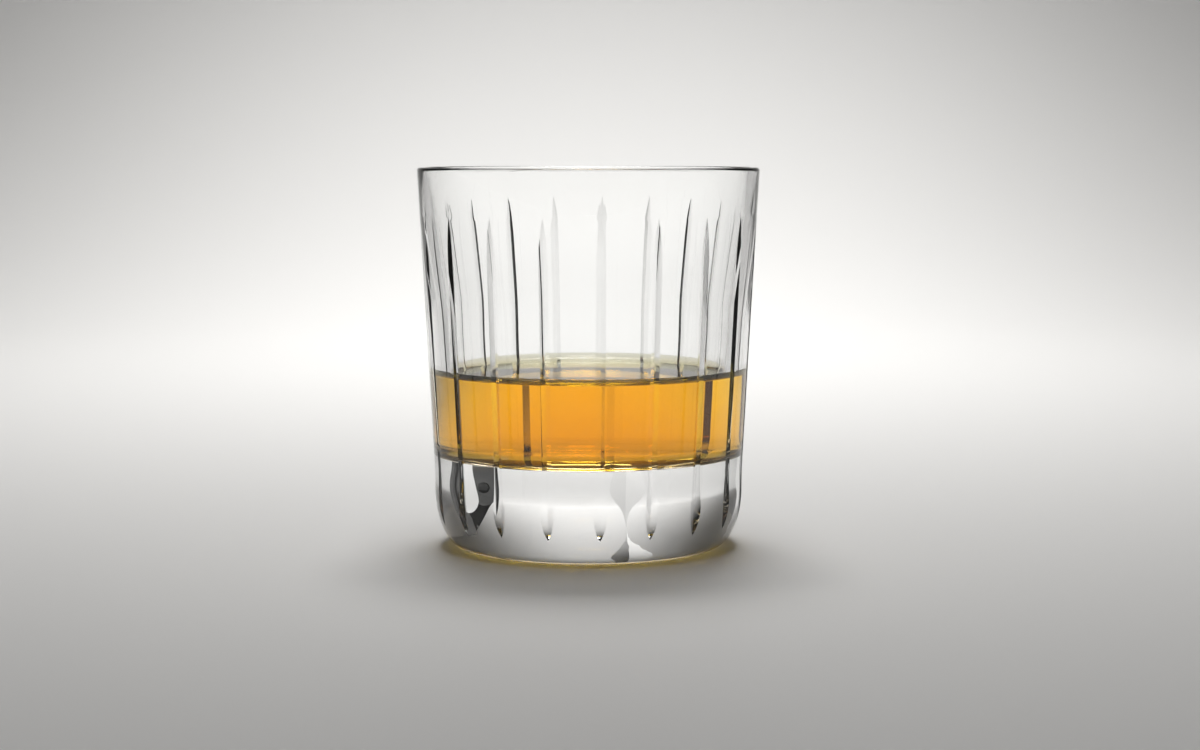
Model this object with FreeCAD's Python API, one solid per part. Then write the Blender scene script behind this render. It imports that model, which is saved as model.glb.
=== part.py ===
"""Whisky, served neat, in a heavy-footed tumbler of clear glass with a ring of upright mitre cuts.

Millimetres, +Z up. The origin is the middle of the foot, on the surface that the glass stands on.
The front of the glass faces -Y.
"""

import FreeCAD
import Part
import math
import os

# Outside of the glass
HEIGHT = 96.5  # foot to rim
RIM_RADIUS = 43.5  # outside of the wall at the rim
OUTER_LEAN = 3.08  # degrees that the outside of the wall leans out from upright
KNEE_RADIUS = 150.0  # the large bend where the leaning wall turns upright above the heel
HEEL_HEIGHT = 15.0  # the rounded heel, from the foot up
HEEL_WIDTH = 7.0  # the rounded heel, from the wall in to the flat of the foot
FOOT_HOLLOW_RADIUS = 26.0  # shallow hollow under the foot, which leaves a flat ring to stand on
FOOT_HOLLOW_DEPTH = 0.8

# Inside of the glass: the wall thickens from the rim down to a slight shoulder, and little below it
RIM_WALL = 2.3
RIM_ROUNDING = 0.8  # both edges of the rim
SHOULDER_WALL = 5.4
SHOULDER_DROP = 36.0  # from the rim down to the shoulder
SHOULDER_RADIUS = 120.0  # the large bend at the shoulder
FLOOR_WALL = 5.8
FLOOR_THICKNESS = 23.3  # solid glass under the drink
FLOOR_CORNER_RADIUS = 4.0  # between the floor and the wall

# Mitre cuts in the outside
CUT_COUNT = 19
CUT_START = 4.4  # degrees from the front (-Y) towards +X to the first cut
CUT_DEPTH = 0.55
CUT_ANGLE = 131.0  # degrees between the two sides of a cut
CUT_TIP_DROP = 11.8  # from the rim down to the pointed top of a cut
WHEEL_RADIUS = 120.0  # of the cutting wheel, which leaves the pointed top

# Drink
FILL_DEPTH = 20.9  # floor to the flat of the surface
MENISCUS_RISE = 1.8  # height that the drink climbs the wall
MENISCUS_WIDTH = 3.0  # from the wall to where the surface is flat

# Worked out from the sizes above
OUTER_SLOPE = math.tan(math.radians(OUTER_LEAN))
KNEE_TOP = HEEL_HEIGHT + KNEE_RADIUS * math.sin(math.radians(OUTER_LEAN))
SHOULDER_Z = HEIGHT - SHOULDER_DROP
DRINK_LEVEL = FLOOR_THICKNESS + FILL_DEPTH
CONTACT_Z = DRINK_LEVEL + MENISCUS_RISE


def outer_radius(z):
    """Radius of the outside's leaning wall at height z, carried on below it in a straight line."""
    return RIM_RADIUS - (HEIGHT - z) * OUTER_SLOPE


SHOULDER_INSIDE = outer_radius(SHOULDER_Z) - SHOULDER_WALL
FLOOR_INSIDE = outer_radius(FLOOR_THICKNESS) - FLOOR_WALL
HEEL_RADIUS = outer_radius(KNEE_TOP) - KNEE_RADIUS * (1 - math.cos(math.radians(OUTER_LEAN)))
FOOT_RADIUS = HEEL_RADIUS - HEEL_WIDTH


def inner_radius(z):
    """Radius of the inside wall at height z, between the floor and the shoulder."""
    share = (z - FLOOR_THICKNESS) / (SHOULDER_Z - FLOOR_THICKNESS)
    return FLOOR_INSIDE + (SHOULDER_INSIDE - FLOOR_INSIDE) * share


def point(radius, z):
    """A point of an outline, which is drawn in the XZ plane."""
    return FreeCAD.Vector(radius, 0, z)


FLOOR_MIDDLE = point(0, FLOOR_THICKNESS)
FLOOR_CORNER = point(FLOOR_INSIDE, FLOOR_THICKNESS)
SHOULDER_CORNER = point(SHOULDER_INSIDE, SHOULDER_Z)
RIM_INSIDE = point(RIM_RADIUS - RIM_WALL, HEIGHT)
RIM_OUTSIDE = point(RIM_RADIUS, HEIGHT)


def line(start, end):
    return Part.LineSegment(start, end).toShape()


def rounded_corner(before, corner, after, radius):
    """The arc that rounds a corner between two straight lines, as (start, edge, end)."""
    back = (before - corner).normalize()
    on = (after - corner).normalize()
    half = back.getAngle(on) / 2
    reach = radius / math.tan(half)
    start = corner + back * reach
    end = corner + on * reach
    middle = corner + (back + on).normalize() * (radius / math.sin(half) - radius)
    return start, Part.Arc(start, middle, end).toShape(), end


def turned(edges):
    """The solid made by turning a closed outline once round the Z axis."""
    face = Part.Face(Part.Wire(edges))
    solid = face.revolve(FreeCAD.Vector(0, 0, 0), FreeCAD.Vector(0, 0, 1), 360)
    if solid.Volume < 0:
        solid.reverse()
    return solid


def foot_edges():
    """The hollow under the foot and the flat ring round it, from the axis out to the heel."""
    hollow_edge = point(FOOT_HOLLOW_RADIUS, 0)
    sphere_radius = (FOOT_HOLLOW_RADIUS**2 + FOOT_HOLLOW_DEPTH**2) / (2 * FOOT_HOLLOW_DEPTH)
    half_way = FOOT_HOLLOW_RADIUS / 2
    half_way_z = FOOT_HOLLOW_DEPTH - sphere_radius + math.sqrt(sphere_radius**2 - half_way**2)
    hollow = Part.Arc(point(0, FOOT_HOLLOW_DEPTH), point(half_way, half_way_z), hollow_edge)
    return [hollow.toShape(), line(hollow_edge, point(FOOT_RADIUS, 0))]


def heel_edge():
    """A quarter of an upright ellipse, from the flat of the foot up to the side of the glass."""
    centre = point(FOOT_RADIUS, HEEL_HEIGHT)
    bottom = point(FOOT_RADIUS, 0)
    side = point(HEEL_RADIUS, HEEL_HEIGHT)
    if HEEL_HEIGHT >= HEEL_WIDTH:
        ellipse = Part.Ellipse(bottom, side, centre)
    else:
        ellipse = Part.Ellipse(side, bottom, centre)
    start, end = sorted(ellipse.parameter(corner) for corner in (bottom, side))
    if end - start > math.pi:
        start, end = end, start + 2 * math.pi
    return ellipse.toShape(start, end)


def knee_edge():
    """The bend from upright, at the top of the heel, to the lean of the wall."""

    def on_bend(degrees):
        turn = math.radians(degrees)
        return point(
            HEEL_RADIUS + KNEE_RADIUS * (1 - math.cos(turn)),
            HEEL_HEIGHT + KNEE_RADIUS * math.sin(turn),
        )

    return Part.Arc(on_bend(0), on_bend(OUTER_LEAN / 2), on_bend(OUTER_LEAN)).toShape()


def rim_and_wall_edges(outer_start, inner_end):
    """Up the leaning outside from outer_start, over the rim, and down the inside to inner_end."""
    rounding = min(RIM_ROUNDING, 0.45 * RIM_WALL)
    up, outer_arc, across = rounded_corner(outer_start, RIM_OUTSIDE, RIM_INSIDE, rounding)
    over, inner_arc, down = rounded_corner(RIM_OUTSIDE, RIM_INSIDE, SHOULDER_CORNER, rounding)
    bend_top, bend, bend_end = rounded_corner(
        RIM_INSIDE, SHOULDER_CORNER, FLOOR_CORNER, SHOULDER_RADIUS
    )
    return [
        line(outer_start, up),
        outer_arc,
        line(across, over),
        inner_arc,
        line(down, bend_top),
        bend,
        line(bend_end, inner_end),
    ]


def floor_corner():
    """The rounding between the inside wall and the floor, as (top, edge, end on the floor)."""
    return rounded_corner(SHOULDER_CORNER, FLOOR_CORNER, FLOOR_MIDDLE, FLOOR_CORNER_RADIUS)


def blank_glass():
    """The glass before it is cut."""
    corner_top, corner_arc, floor_edge = floor_corner()
    edges = foot_edges() + [heel_edge(), knee_edge()]
    edges += rim_and_wall_edges(point(outer_radius(KNEE_TOP), KNEE_TOP), corner_top)
    edges += [corner_arc, line(floor_edge, FLOOR_MIDDLE)]
    edges.append(line(FLOOR_MIDDLE, point(0, FOOT_HOLLOW_DEPTH)))
    return turned(edges)


def cut_outline():
    """The side view of what the wheel takes away, as a face in the XZ plane.

    Its inner edge is the bottom of the cut: an arc of the wheel at the top, then a straight line that
    runs CUT_DEPTH under the leaning wall, and out through the heel.
    """
    lean = math.radians(OUTER_LEAN)
    inwards = FreeCAD.Vector(-math.cos(lean), 0, math.sin(lean))
    down = FreeCAD.Vector(-math.sin(lean), 0, -math.cos(lean))
    run_out = math.sqrt(2 * WHEEL_RADIUS * CUT_DEPTH - CUT_DEPTH**2)
    tip_z = HEIGHT - CUT_TIP_DROP
    full_depth = point(outer_radius(tip_z), tip_z) + down * run_out + inwards * CUT_DEPTH
    wheel_middle = full_depth - inwards * WHEEL_RADIUS

    def on_wheel(along):
        return wheel_middle - down * along + inwards * math.sqrt(WHEEL_RADIUS**2 - along**2)

    past_tip = on_wheel(run_out * 1.2)
    arc = Part.Arc(full_depth, on_wheel(run_out * 0.6), past_tip).toShape()
    below_foot = full_depth + down * ((full_depth.z + HEEL_HEIGHT) / math.cos(lean))
    clear_radius = RIM_RADIUS + 4 * CUT_DEPTH
    high_outside = point(clear_radius, past_tip.z)
    low_outside = point(clear_radius, below_foot.z)
    edges = [
        line(below_foot, full_depth),
        arc,
        line(past_tip, high_outside),
        line(high_outside, low_outside),
        line(low_outside, below_foot),
    ]
    return Part.Face(Part.Wire(edges))


def cutter():
    """One V-shaped cutter on the +X side: the outline swept along each side of the V, and joined."""
    outline = cut_outline()
    reach = 3 * CUT_DEPTH
    half_width = reach * math.tan(math.radians(CUT_ANGLE / 2))
    left, right = (outline.extrude(FreeCAD.Vector(reach, side, 0)) for side in (half_width, -half_width))
    return left.fuse(right)


def tumbler():
    """The glass with its ring of cuts."""
    one_cutter = cutter()
    cutters = []
    for number in range(CUT_COUNT):
        copy = one_cutter.copy()
        turn = -90 + CUT_START + number * 360 / CUT_COUNT
        copy.rotate(FreeCAD.Vector(0, 0, 0), FreeCAD.Vector(0, 0, 1), turn)
        cutters.append(copy)
    return blank_glass().cut(cutters)


def whisky():
    """The drink: it fills the glass from wall to wall and climbs the wall a little at its edge."""
    corner_top, corner_arc, floor_edge = floor_corner()
    contact = point(inner_radius(CONTACT_Z), CONTACT_Z)
    flat_edge = point(contact.x - MENISCUS_WIDTH, DRINK_LEVEL)
    bend = (MENISCUS_WIDTH**2 + MENISCUS_RISE**2) / (2 * MENISCUS_RISE)
    half_turn = math.asin(MENISCUS_WIDTH / bend) / 2
    half_way = point(
        flat_edge.x + bend * math.sin(half_turn),
        DRINK_LEVEL + bend * (1 - math.cos(half_turn)),
    )
    surface_middle = point(0, DRINK_LEVEL)
    edges = [
        line(FLOOR_MIDDLE, floor_edge),
        corner_arc,
        line(corner_top, contact),
        Part.Arc(contact, half_way, flat_edge).toShape(),
        line(flat_edge, surface_middle),
        line(surface_middle, FLOOR_MIDDLE),
    ]
    return turned(edges)


def main():
    os.makedirs("parts", exist_ok=True)
    for node, make in {"tumbler": tumbler, "whisky": whisky}.items():
        shape = make()
        if len(shape.Solids) != 1 or not shape.isValid():
            raise ValueError(f"{node} isn't one valid solid")
        solid = shape.Solids[0]
        solid.exportStep(f"parts/{node}.step")
        box = solid.optimalBoundingBox(False, False)
        print(
            f"{node}: {solid.Volume / 1000:.2f} cm3, {box.XLength:.2f} x {box.YLength:.2f}"
            f" x {box.ZLength:.2f} mm, z {box.ZMin:.2f} to {box.ZMax:.2f}"
        )


main()
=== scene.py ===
"""Neat whisky in a heavy-footed tumbler of clear glass, cut with upright mitre grooves.

Metres, +Z up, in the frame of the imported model: the glass stands on z = 0 and its front faces -Y.
"""

import math

import bmesh
import bpy
from mathutils import Matrix, Vector


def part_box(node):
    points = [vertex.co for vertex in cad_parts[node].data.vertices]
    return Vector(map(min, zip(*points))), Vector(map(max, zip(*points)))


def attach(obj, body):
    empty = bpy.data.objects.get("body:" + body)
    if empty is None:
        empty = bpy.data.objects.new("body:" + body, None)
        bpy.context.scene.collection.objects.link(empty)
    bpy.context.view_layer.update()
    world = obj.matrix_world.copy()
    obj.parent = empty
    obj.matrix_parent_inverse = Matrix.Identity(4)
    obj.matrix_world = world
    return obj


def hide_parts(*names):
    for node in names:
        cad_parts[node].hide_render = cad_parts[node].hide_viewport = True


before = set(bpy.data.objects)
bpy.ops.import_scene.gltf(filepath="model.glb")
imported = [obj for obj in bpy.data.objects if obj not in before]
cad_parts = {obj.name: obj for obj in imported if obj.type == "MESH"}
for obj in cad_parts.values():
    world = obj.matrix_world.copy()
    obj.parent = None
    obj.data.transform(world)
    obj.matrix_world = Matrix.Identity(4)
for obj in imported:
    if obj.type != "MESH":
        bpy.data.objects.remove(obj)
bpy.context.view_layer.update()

MM = 0.001
DEG = math.radians(1)
UP = Vector((0, 0, 1))
CENTRE = Vector((0, 0, 0))

# Heights that the frame gives
_, glass_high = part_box("tumbler")
drink_low, drink_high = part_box("whisky")
RIM_Z = glass_high.z
FLOOR_Z = drink_low.z
CONTACT_Z = drink_high.z

# Outside of the glass
RIM_RADIUS = 43.5 * MM
LEAN = 3.08 * DEG
KNEE_RADIUS = 150 * MM
HEEL_HEIGHT = 15 * MM
HEEL_WIDTH = 7 * MM
HOLLOW_RADIUS = 26 * MM
HOLLOW_DEPTH = 0.8 * MM

# Inside of the glass
RIM_WALL = 2.3 * MM
RIM_ROUNDING = 0.8 * MM
SHOULDER_WALL = 5.4 * MM
SHOULDER_DROP = 36 * MM
SHOULDER_RADIUS = 120 * MM
FLOOR_WALL = 5.8 * MM
FLOOR_CORNER_RADIUS = 4 * MM

# Mitre cuts
CUT_COUNT = 19
CUT_START = 4.4 * DEG
CUT_DEPTH = 0.55 * MM
CUT_HALF_ANGLE = 65.5 * DEG
CUT_TIP_DROP = 11.8 * MM
WHEEL_RADIUS = 120 * MM

# Drink
MENISCUS_RISE = 1.8 * MM
MENISCUS_WIDTH = 3.0 * MM
INTO_WALL = 0.15 * MM

# Rows and columns of the meshes
HOLLOW_ROWS = 8
HEEL_ROWS = 18
KNEE_ROWS = 6
WALL_ROWS = 6
CUT_TIP_ROWS = 12
RIM_ROWS = 8
SHOULDER_ROWS = 4
INSIDE_ROWS = 4
CORNER_ROWS = 12
MENISCUS_ROWS = 12
SWEEP_ROWS = 24
PLAIN_COLUMNS = 12
DRINK_COLUMNS = 240
ROOM_COLUMNS = 128

# Small distances, and the angles from which an edge is shaded sharp
HOLDING = 0.2 * MM
TOUCHING = 0.001 * MM
DOUBLE = 0.0005 * MM
SLIVER = 0.0001 * MM
HALVINGS = 40
GLASS_CREASE = 20 * DEG
DRINK_CREASE = 30 * DEG

# Studio
ROOM_RADIUS = 1.3
ROOM_HEIGHT = 0.9
SWEEP_RADIUS = 0.6
FLOOR_DROP = 0.02 * MM
# Painted shade on the paper: grey starts this far to either side of the glass, and is full grey at the
# next distance
PAINTED_SHADE_START = 0.5
PAINTED_SHADE_FULL = 0.9

# Camera
CAMERA_PLACE = (2.95 * MM, -610 * MM, 101.9 * MM)
CAMERA_DIP = 5.47 * DEG
LENS = 71.8
SENSOR_WIDTH = 36


# ---------------------------------------------------------------- outlines


def at(radius, z):
    """A point of an outline, which lies in the XZ plane."""
    return Vector((radius, 0, z))


def leaning_radius(z):
    """Radius of the leaning outside wall at height z, carried on below it in a straight line."""
    return RIM_RADIUS - (RIM_Z - z) * math.tan(LEAN)


KNEE_TOP = HEEL_HEIGHT + KNEE_RADIUS * math.sin(LEAN)
HEEL_RADIUS = leaning_radius(KNEE_TOP) - KNEE_RADIUS * (1 - math.cos(LEAN))
FOOT_RADIUS = HEEL_RADIUS - HEEL_WIDTH
SHOULDER_Z = RIM_Z - SHOULDER_DROP
TIP_Z = RIM_Z - CUT_TIP_DROP

RIM_OUTSIDE = at(RIM_RADIUS, RIM_Z)
RIM_INSIDE = at(RIM_RADIUS - RIM_WALL, RIM_Z)
SHOULDER_CORNER = at(leaning_radius(SHOULDER_Z) - SHOULDER_WALL, SHOULDER_Z)
FLOOR_CORNER = at(leaning_radius(FLOOR_Z) - FLOOR_WALL, FLOOR_Z)


def outside_radius(z):
    """Radius of the uncut outside at height z: heel, knee or leaning wall."""
    if z >= KNEE_TOP:
        return leaning_radius(z)
    if z >= HEEL_HEIGHT:
        return HEEL_RADIUS + KNEE_RADIUS - math.sqrt(KNEE_RADIUS**2 - (z - HEEL_HEIGHT) ** 2)
    drop = (HEEL_HEIGHT - z) / HEEL_HEIGHT
    return FOOT_RADIUS + HEEL_WIDTH * math.sqrt(max(0, 1 - drop**2))


def inside_radius(z):
    """Radius of the inside wall at height z, between the floor and the shoulder."""
    share = (z - FLOOR_Z) / (SHOULDER_Z - FLOOR_Z)
    return FLOOR_CORNER.x + (SHOULDER_CORNER.x - FLOOR_CORNER.x) * share


def spread(start, end, steps):
    """Values from start to end in even steps, both ends included."""
    return [start + (end - start) * step / steps for step in range(steps + 1)]


def rounded(before, corner, after, radius, steps):
    """Points of the arc that rounds the corner of an outline."""
    back = (before - corner).normalized()
    on = (after - corner).normalized()
    half = back.angle(on) / 2
    centre = corner + (back + on).normalized() * (radius / math.sin(half))
    start = corner + back * (radius / math.tan(half)) - centre
    turn = math.pi - 2 * half
    axis = back.cross(on).normalized()
    return [centre + Matrix.Rotation(-angle, 3, axis) @ start for angle in spread(0, turn, steps)]


def held(points, start, end):
    """The points of an arc, with a holding point just before and after it on the straights."""
    before = points[0] + (start - points[0]).normalized() * HOLDING
    after = points[-1] + (end - points[-1]).normalized() * HOLDING
    return [before, *points, after]


def cut_bottom(z):
    """Radius of the bottom of a cut at height z, which the wheel leaves in an arc at the tip."""
    along = (TIP_Z - z) / math.cos(LEAN)
    run_out = math.sqrt(2 * WHEEL_RADIUS * CUT_DEPTH - CUT_DEPTH**2)
    depth = CUT_DEPTH
    if along < run_out:
        depth = math.sqrt(WHEEL_RADIUS**2 - (run_out - along) ** 2) - WHEEL_RADIUS + CUT_DEPTH
    return leaning_radius(z) - depth / math.cos(LEAN)


def cut_half_width(z):
    """Angle at the glass's axis from the middle of a cut to its edge, or 0 where there's no cut."""
    if z > TIP_Z or cut_bottom(z) >= outside_radius(z):
        return 0
    slope = 1 / math.tan(CUT_HALF_ANGLE)
    ratio = cut_bottom(z) / outside_radius(z)
    return math.acos(ratio / math.hypot(1, slope)) - math.atan(slope)


def cut_end():
    """Height at which the bottom of a cut comes out through the heel."""
    low, high = 0, HEEL_HEIGHT
    for _ in range(HALVINGS):
        middle = (low + high) / 2
        if cut_bottom(middle) < outside_radius(middle):
            high = middle
        else:
            low = middle
    return high


CUT_END_Z = cut_end()


def outside_heights():
    """Heights of the rows of the outside, from the foot up to the tips of the cuts."""
    heel = [HEEL_HEIGHT * (1 - math.cos(angle)) for angle in spread(0, math.pi / 2, HEEL_ROWS)]
    heel = [z for z in heel if abs(z - CUT_END_Z) > HOLDING]
    tip_start = TIP_Z - math.sqrt(2 * WHEEL_RADIUS * CUT_DEPTH)
    heights = heel + [CUT_END_Z]
    heights += spread(HEEL_HEIGHT, KNEE_TOP, KNEE_ROWS)[1:]
    heights += spread(KNEE_TOP, tip_start, WALL_ROWS)[1:]
    heights += spread(tip_start, TIP_Z, CUT_TIP_ROWS)[1:]
    return sorted(heights)


def foot_hollow():
    """The shallow dome under the foot, from its middle out to the ring that the glass stands on."""
    sphere_radius = (HOLLOW_RADIUS**2 + HOLLOW_DEPTH**2) / (2 * HOLLOW_DEPTH)
    return [
        at(radius, HOLLOW_DEPTH - sphere_radius + math.sqrt(sphere_radius**2 - radius**2))
        for radius in spread(0, HOLLOW_RADIUS, HOLLOW_ROWS)
    ]


def glass_outline():
    """The glass from the middle of its foot, up the outside, over the rim and down to the floor."""
    outside = [at(outside_radius(z), z) for z in outside_heights()]
    floor_middle = at(0, FLOOR_Z)
    outer_rim = rounded(outside[-1], RIM_OUTSIDE, RIM_INSIDE, RIM_ROUNDING, RIM_ROWS)
    inner_rim = rounded(RIM_OUTSIDE, RIM_INSIDE, SHOULDER_CORNER, RIM_ROUNDING, RIM_ROWS)
    shoulder = rounded(RIM_INSIDE, SHOULDER_CORNER, FLOOR_CORNER, SHOULDER_RADIUS, SHOULDER_ROWS)
    corner = rounded(SHOULDER_CORNER, FLOOR_CORNER, floor_middle, FLOOR_CORNER_RADIUS, CORNER_ROWS)
    inside = [shoulder[-1].lerp(corner[0], share) for share in spread(0, 1, INSIDE_ROWS)[1:-1]]
    return [
        *foot_hollow(),
        *outside,
        *held(outer_rim, outside[-1], inner_rim[0])[:-1],
        *held(inner_rim, outer_rim[-1], shoulder[0])[1:],
        *shoulder,
        *inside,
        *held(corner, shoulder[-1], floor_middle),
        floor_middle,
    ]


def whisky_outline():
    """The drink from the middle of its floor, out into the glass, up the wall and over its surface."""
    floor_middle = at(0, FLOOR_Z - INTO_WALL)
    floor_edge = FLOOR_CORNER + at(INTO_WALL, -INTO_WALL)
    contact = at(inside_radius(CONTACT_Z), CONTACT_Z)
    top = contact + at(INTO_WALL, 0)
    corner = rounded(floor_middle, floor_edge, top, FLOOR_CORNER_RADIUS + INTO_WALL, CORNER_ROWS)
    level = CONTACT_Z - MENISCUS_RISE
    bend = (MENISCUS_WIDTH**2 + MENISCUS_RISE**2) / (2 * MENISCUS_RISE)
    turn = math.asin(MENISCUS_WIDTH / bend)
    meniscus = [
        at(contact.x - MENISCUS_WIDTH + bend * math.sin(angle), level + bend * (1 - math.cos(angle)))
        for angle in spread(turn, 0, MENISCUS_ROWS)
    ]
    still = at(meniscus[-1].x - HOLDING, level)
    return [floor_middle, *held(corner, floor_middle, top), top, *meniscus, still, at(0, level)]


def room_outline():
    """The floor from its middle, sweeping up into the wall."""
    sweep = [
        at(ROOM_RADIUS - SWEEP_RADIUS * (1 - math.sin(angle)), SWEEP_RADIUS * (1 - math.cos(angle)))
        for angle in spread(0, math.pi / 2, SWEEP_ROWS)
    ]
    return [at(0, 0), *sweep, at(ROOM_RADIUS, ROOM_HEIGHT)]


# ---------------------------------------------------------------- meshes


def draw(bm, points):
    """A chain of edges through the points, given as one list of its corners and edges."""
    corners = [bm.verts.new(point) for point in points]
    return corners + [bm.edges.new(pair) for pair in zip(corners, corners[1:])]


def turn_round(bm, geometry, angle, steps, **options):
    """Spins the geometry round the glass's axis."""
    bmesh.ops.spin(bm, geom=geometry, cent=CENTRE, axis=UP, angle=angle, steps=steps, **options)


def finished(bm, name, crease):
    """Merges doubles, turns faces outwards, and shades all but the creased edges smooth."""
    bmesh.ops.remove_doubles(bm, verts=bm.verts, dist=DOUBLE)
    bmesh.ops.dissolve_degenerate(bm, edges=bm.edges, dist=SLIVER)
    bmesh.ops.recalc_face_normals(bm, faces=bm.faces)
    for face in bm.faces:
        face.smooth = True
    for edge in bm.edges:
        edge.smooth = edge.calc_face_angle(0) < crease
    mesh = bpy.data.meshes.new(name)
    bm.to_mesh(mesh)
    bm.free()
    piece = bpy.data.objects.new(name, mesh)
    bpy.context.scene.collection.objects.link(piece)
    return piece


def shape_cut(corners, sector, columns):
    """Moves the outside of one sector, so that it has half a cut at each end.

    Column 0 becomes the bottom of a cut and column 1 its edge, and so on from the other end.
    """
    for corner in corners:
        radius = math.hypot(corner.co.x, corner.co.y)
        z = corner.co.z
        on_outside = abs(radius - outside_radius(z)) < TOUCHING
        if not on_outside or z > TIP_Z + TOUCHING or z < CUT_END_Z - TOUCHING:
            continue
        column = round(math.atan2(corner.co.y, corner.co.x) / sector * columns)
        width = cut_half_width(z)
        share = (1 - math.cos(math.pi * (column - 1) / (columns - 2))) / 2
        angle = width + (sector - 2 * width) * share
        if column in (0, columns):
            angle = sector * column / columns
            radius = min(radius, cut_bottom(z))
        corner.co = (radius * math.cos(angle), radius * math.sin(angle), z)


def make_glass():
    """One sector of the wall is spun and given its cut, then copied round the axis."""
    bm = bmesh.new()
    sector = 2 * math.pi / CUT_COUNT
    columns = PLAIN_COLUMNS + 2
    turn_round(bm, draw(bm, glass_outline()), sector, columns)
    shape_cut(bm.verts, sector, columns)
    to_first_cut = Matrix.Rotation(CUT_START - math.pi / 2, 3, "Z")
    bmesh.ops.rotate(bm, verts=bm.verts, cent=CENTRE, matrix=to_first_cut)
    everything = bm.verts[:] + bm.edges[:] + bm.faces[:]
    turn_round(bm, everything, sector * (CUT_COUNT - 1), CUT_COUNT - 1, use_duplicate=True)
    glass = finished(bm, "tumbler_glass", GLASS_CREASE)
    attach(glass, "root")
    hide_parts("tumbler")
    return glass


def make_whisky():
    """The drink, which reaches a little into the glass, so that no air shows between them."""
    bm = bmesh.new()
    turn_round(bm, draw(bm, whisky_outline()), 2 * math.pi, DRINK_COLUMNS, use_merge=True)
    drink = finished(bm, "whisky_fill", DRINK_CREASE)
    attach(drink, "root")
    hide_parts("whisky")
    return drink


# ---------------------------------------------------------------- materials


def set_inputs(node, values):
    """Gives the inputs of a node their values, by name."""
    for name, value in values.items():
        node.inputs[name].default_value = value


class Recipe:
    """A material with a Principled shader, and short ways to add nodes to it."""

    def __init__(self, name, values):
        self.material = bpy.data.materials.new(name)
        self.material.use_nodes = True
        self.tree = self.material.node_tree
        self.shader = self.tree.nodes["Principled BSDF"]
        self.output = self.tree.nodes["Material Output"]
        set_inputs(self.shader, values)

    def add(self, kind, values, **settings):
        """A new node with its settings, and then the values of its inputs."""
        node = self.tree.nodes.new(kind)
        for name, value in settings.items():
            setattr(node, name, value)
        set_inputs(node, values)
        return node

    def link(self, source, target):
        self.tree.links.new(source, target)

    def noise(self, scale, detail):
        """Noise that keeps its place on the object."""
        place = self.add("ShaderNodeTexCoord", {})
        noise = self.add("ShaderNodeTexNoise", {"Scale": scale, "Detail": detail})
        self.link(place.outputs["Object"], noise.inputs["Vector"])
        return noise.outputs["Fac"]

    def place_along(self, axis):
        """The place on the object along its X, Y or Z axis."""
        place = self.add("ShaderNodeTexCoord", {})
        split = self.add("ShaderNodeSeparateXYZ", {})
        self.link(place.outputs["Object"], split.inputs["Vector"])
        return split.outputs[axis]

    def colour_by(self, source, near, far, near_colour, far_colour):
        """Base colour that goes softly from one colour to the other as the source goes near to far."""
        limits = {"From Min": near, "From Max": far}
        share = self.add("ShaderNodeMapRange", limits, interpolation_type="SMOOTHSTEP")
        colours = {"A": (*near_colour, 1), "B": (*far_colour, 1)}
        mix = self.add("ShaderNodeMix", colours, data_type="RGBA")
        self.link(source, share.inputs["Value"])
        self.link(share.outputs["Result"], mix.inputs["Factor"])
        self.link(mix.outputs["Result"], self.shader.inputs["Base Color"])

    def put_on(self, piece):
        piece.data.materials.clear()
        piece.data.materials.append(self.material)


def clear_glass():
    """Polished glass, with the faint waves and softened polish of a pressed and hand-cut tumbler."""
    clear = {"Base Color": (0.996, 0.999, 0.998, 1), "IOR": 1.52, "Transmission Weight": 1.0}
    recipe = Recipe("clear polished glass", clear)
    dull_patches = {"From Min": 0.62, "From Max": 0.8, "To Max": 0.03}
    polish = recipe.add("ShaderNodeMapRange", dull_patches)
    recipe.link(recipe.noise(scale=90, detail=3), polish.inputs["Value"])
    recipe.link(polish.outputs["Result"], recipe.shader.inputs["Roughness"])
    waves = recipe.add("ShaderNodeBump", {"Strength": 0.12, "Distance": 0.1 * MM})
    recipe.link(recipe.noise(scale=45, detail=1), waves.inputs["Height"])
    recipe.link(waves.outputs["Normal"], recipe.shader.inputs["Normal"])
    return recipe


def amber_whisky():
    """Golden amber, which deepens with the thickness of the drink, with painted shade that makes its
    base colour darker and more orange towards its floor.
    """
    recipe = Recipe("amber whisky", {"Roughness": 0.0, "IOR": 1.36, "Transmission Weight": 1.0})
    # Painted shade: the base colour darkens to orange from the drink's surface down to its floor
    recipe.colour_by(
        recipe.place_along("Z"),
        CONTACT_Z,
        FLOOR_Z,
        near_colour=(1.0, 1.0, 0.9),
        far_colour=(1.0, 0.84, 0.6),
    )
    absorb = recipe.add("ShaderNodeVolumeAbsorption", {"Color": (1.0, 0.88, 0.0, 1), "Density": 105})
    recipe.link(absorb.outputs["Volume"], recipe.output.inputs["Volume"])
    return recipe


def paper_with_painted_side_shade():
    """Matt paper, pale in a broad band behind and before the glass, with painted shade: grey painted
    in away to both sides.
    """
    recipe = Recipe("paper with painted side shade", {"Roughness": 0.6})
    sideways = recipe.add("ShaderNodeMath", {}, operation="ABSOLUTE")
    recipe.link(recipe.place_along("X"), sideways.inputs[0])
    # Painted shade: the paper turns grey away to both sides of the glass
    recipe.colour_by(
        sideways.outputs["Value"],
        PAINTED_SHADE_START,
        PAINTED_SHADE_FULL,
        near_colour=(0.78, 0.77, 0.75),
        far_colour=(0.35, 0.35, 0.34),
    )
    return recipe


# ---------------------------------------------------------------- studio


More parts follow.
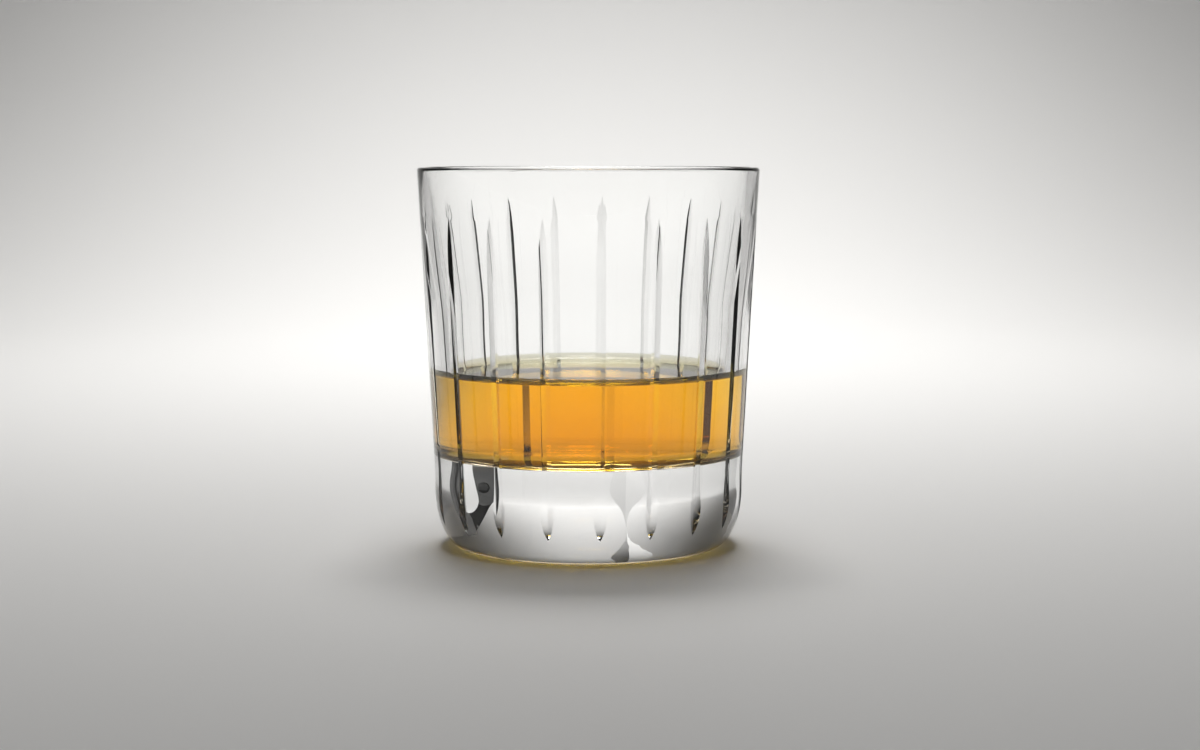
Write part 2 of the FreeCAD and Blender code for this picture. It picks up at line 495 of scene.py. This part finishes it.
def make_room():
    """A pale floor that sweeps up into a round wall, open at the top."""
    bm = bmesh.new()
    turn_round(bm, draw(bm, room_outline()), 2 * math.pi, ROOM_COLUMNS, use_merge=True)
    bmesh.ops.translate(bm, verts=bm.verts, vec=(0, 0, -FLOOR_DROP))
    floor = finished(bm, "floor", math.pi)
    return floor


def soft_box(name, place, target, width, depth, watts, grid):
    """A rectangular lamp, whose grid keeps its light within an angle."""
    lamp = bpy.data.lights.new(name, "AREA")
    lamp.shape = "RECTANGLE"
    lamp.size = width
    lamp.size_y = depth
    lamp.energy = watts
    lamp.spread = grid
    holder = bpy.data.objects.new(name, lamp)
    holder.location = place
    holder.rotation_euler = (Vector(target) - Vector(place)).to_track_quat("-Z", "Y").to_euler()
    bpy.context.scene.collection.objects.link(holder)


def make_light():
    """A soft box over the paper behind the glass, a weaker one above the glass, and a dim world."""
    world = bpy.data.worlds.new("soft studio")
    bpy.context.scene.world = world
    world.use_nodes = True
    set_inputs(world.node_tree.nodes["Background"], {"Color": (0.95, 0.97, 1.0, 1), "Strength": 0.06})
    soft_box(
        "soft box behind",
        place=(0, 0.75, 1.1),
        target=(0, 0.6, 0),
        width=0.5,
        depth=1.0,
        watts=3.7,
        grid=70 * DEG,
    )
    soft_box(
        "soft box above",
        place=(0, -0.1, 1.2),
        target=(0, 0, 0),
        width=0.4,
        depth=0.4,
        watts=1.0,
        grid=110 * DEG,
    )


def make_camera():
    """The camera, a little above the rim, and a view that keeps the amber's true hue."""
    camera = bpy.data.cameras.new("camera")
    camera.lens = LENS
    camera.sensor_width = SENSOR_WIDTH
    camera.clip_start = 0.01
    camera.clip_end = 20
    holder = bpy.data.objects.new("camera", camera)
    holder.location = CAMERA_PLACE
    holder.rotation_euler = (90 * DEG - CAMERA_DIP, 0, 0)
    bpy.context.scene.collection.objects.link(holder)
    bpy.context.scene.camera = holder
    bpy.context.scene.view_settings.view_transform = "Standard"


clear_glass().put_on(make_glass())
amber_whisky().put_on(make_whisky())
paper_with_painted_side_shade().put_on(make_room())
make_light()
make_camera()
